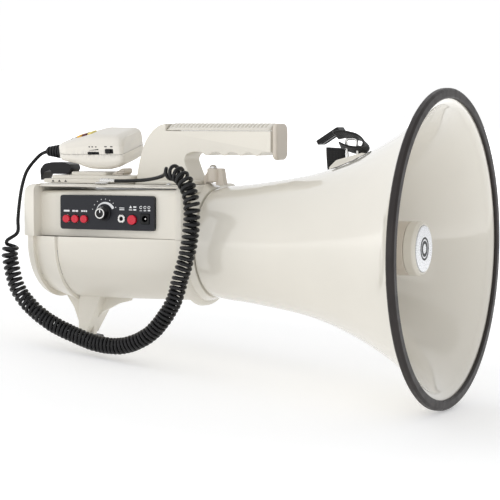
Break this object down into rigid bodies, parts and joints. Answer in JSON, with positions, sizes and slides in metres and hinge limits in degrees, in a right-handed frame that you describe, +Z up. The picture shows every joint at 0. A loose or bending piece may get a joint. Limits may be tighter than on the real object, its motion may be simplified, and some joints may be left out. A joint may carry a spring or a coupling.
{
  "type": "handheld megaphone",
  "caption": "Handheld megaphone with a wide reflex horn, amplifier housing with side controls, top grip, fist microphone on a curly cord, shoulder strap and foot.",
  "frame": {"origin": "under the middle of the megaphone's box, free cord left out, on the plane that the rim and the foot stand on", "axes": "+X towards the mouth of the horn along its length, +Y away from the control panel, +Z up"},
  "size_m": [0.4486, 0.285, 0.2834],
  "materials": {
    "housing_plastic": "glossy moulded cream plastic",
    "tan_plastic": "satin tan plastic",
    "black_plastic": "satin black plastic",
    "trim_rubber": "satin dark rubber",
    "cord_rubber": "satin black sheath",
    "panel_plastic": "fine grained dark grey plastic with white markings",
    "red_plastic": "glossy red plastic",
    "yellow_plastic": "glossy yellow plastic",
    "dark_red_plastic": "glossy dark red plastic",
    "steel": "bright plated steel",
    "aluminium_disc": "brushed silver disc",
    "diaphragm_film": "formed film",
    "circuit_board": "green board with parts",
    "cell": "metal can in a blue shrink sleeve",
    "webbing": "woven black webbing"
  },
  "bodies": {
    "megaphone": {"horn_bell": "housing_plastic", "rim_trim": "trim_rubber", "reflector_tube": "tan_plastic", "throat_tube": "tan_plastic", "centre_cap": "tan_plastic", "centre_disc": "aluminium_disc", "driver_housing": "steel", "driver_diaphragm": "diaphragm_film", "upper_shell": "housing_plastic", "lower_shell": "housing_plastic", "front_collar": "housing_plastic", "top_plate": "housing_plastic", "foot_stand": "housing_plastic", "foot_pad": "trim_rubber", "front_bracket": "housing_plastic", "bracket_screw": "steel", "plate_screw": "steel", "control_panel": "panel_plastic", "volume_potentiometer": "steel", "aux_jack": "steel", "dc_socket": "black_plastic", "amplifier_board": "circuit_board", "battery_tray": "black_plastic", "battery_cell_1": "cell", "battery_cell_2": "cell", "battery_cell_3": "cell", "battery_cell_4": "cell", "handle": "housing_plastic", "handle_cover": "housing_plastic", "handle_end_cap": "tan_plastic", "cradle_base": "housing_plastic", "cradle_hook": "black_plastic", "cord_gland": "steel", "cord_mic_lead": "cord_rubber", "cord_coil": "cord_rubber", "cord_body_lead": "cord_rubber", "strap_lug_front": "housing_plastic", "strap_ring_front": "steel", "strap_loop": "webbing", "strap_buckle": "black_plastic", "strap_webbing": "webbing", "strap_lug_rear": "housing_plastic", "strap_ring_rear": "steel"},
    "battery_cover": {"battery_cover": "housing_plastic"},
    "voice_button": {"voice_button": "red_plastic"},
    "music_button": {"music_button": "red_plastic"},
    "siren_button": {"siren_button": "red_plastic"},
    "power_button": {"power_button": "red_plastic"},
    "volume_knob": {"volume_knob": "black_plastic"},
    "cradle_clip": {"cradle_clip": "tan_plastic"},
    "microphone": {"mic_upper_shell": "housing_plastic", "mic_lower_shell": "housing_plastic", "mic_board": "circuit_board", "mic_strain_relief": "trim_rubber"},
    "mic_key_rear": {"mic_key_rear": "yellow_plastic"},
    "mic_key_middle": {"mic_key_middle": "dark_red_plastic"},
    "mic_key_front": {"mic_key_front": "yellow_plastic"},
    "mic_volume_slider": {"mic_volume_slider": "black_plastic"},
    "mic_mode_switch": {"mic_mode_switch": "black_plastic"},
    "mic_talk_button": {"mic_talk_button": "black_plastic"}
  },
  "joints": [
    {"name": "battery_cover_pull", "type": "slide", "parent": "megaphone", "child": "battery_cover", "axis": [-0.992, 0, -0.1264], "range_m": [0, 0.04]},
    {"name": "voice_button_push", "type": "slide", "parent": "megaphone", "child": "voice_button", "axis": [0, 1, 0], "range_m": [0, 0.002], "stiffness_N_per_m": 300, "springref_m": -0.001},
    {"name": "music_button_push", "type": "slide", "parent": "megaphone", "child": "music_button", "axis": [0, 1, 0], "range_m": [0, 0.002], "stiffness_N_per_m": 300, "springref_m": -0.001},
    {"name": "siren_button_push", "type": "slide", "parent": "megaphone", "child": "siren_button", "axis": [0, 1, 0], "range_m": [0, 0.002], "stiffness_N_per_m": 300, "springref_m": -0.001},
    {"name": "power_button_push", "type": "slide", "parent": "megaphone", "child": "power_button", "axis": [0, 1, 0], "range_m": [0, 0.002], "stiffness_N_per_m": 300, "springref_m": -0.001},
    {"name": "volume_knob_turn", "type": "hinge", "parent": "megaphone", "child": "volume_knob", "pos_m": [-0.11684, -0.06, 0.13001], "axis": [0, 1, 0], "range_deg": [-150, 150]},
    {"name": "cradle_clip_flex", "type": "hinge", "parent": "megaphone", "child": "cradle_clip", "pos_m": [-0.12631, -0.006, 0.16318], "axis": [0, 1, 0], "range_deg": [0, 10], "stiffness_Nm_per_rad": 0.3, "springref_deg": -2.86},
    {"name": "microphone_lift", "type": "slide", "parent": "megaphone", "child": "microphone", "axis": [-0.1264, 0, 0.992], "range_m": [0, 0.04]},
    {"name": "mic_key_rear_push", "type": "slide", "parent": "microphone", "child": "mic_key_rear", "axis": [0.3605, 0.2017, -0.9107], "range_m": [0, 0.0012], "stiffness_N_per_m": 200, "springref_m": -0.001},
    {"name": "mic_key_middle_push", "type": "slide", "parent": "microphone", "child": "mic_key_middle", "axis": [0.3605, 0.2017, -0.9107], "range_m": [0, 0.0012], "stiffness_N_per_m": 200, "springref_m": -0.001},
    {"name": "mic_key_front_push", "type": "slide", "parent": "microphone", "child": "mic_key_front", "axis": [0.3605, 0.2017, -0.9107], "range_m": [0, 0.0012], "stiffness_N_per_m": 200, "springref_m": -0.001},
    {"name": "mic_volume_slide", "type": "slide", "parent": "microphone", "child": "mic_volume_slider", "axis": [0.992, 0, 0.1264], "range_m": [0, 0.006]},
    {"name": "mic_mode_slide", "type": "slide", "parent": "microphone", "child": "mic_mode_switch", "axis": [0.992, 0, 0.1264], "range_m": [0, 0.0025]},
    {"name": "mic_talk_button_push", "type": "slide", "parent": "microphone", "child": "mic_talk_button", "axis": [0.0263, -0.9781, -0.2062], "range_m": [0, 0.002], "stiffness_N_per_m": 400, "springref_m": -0.001}
  ]
}
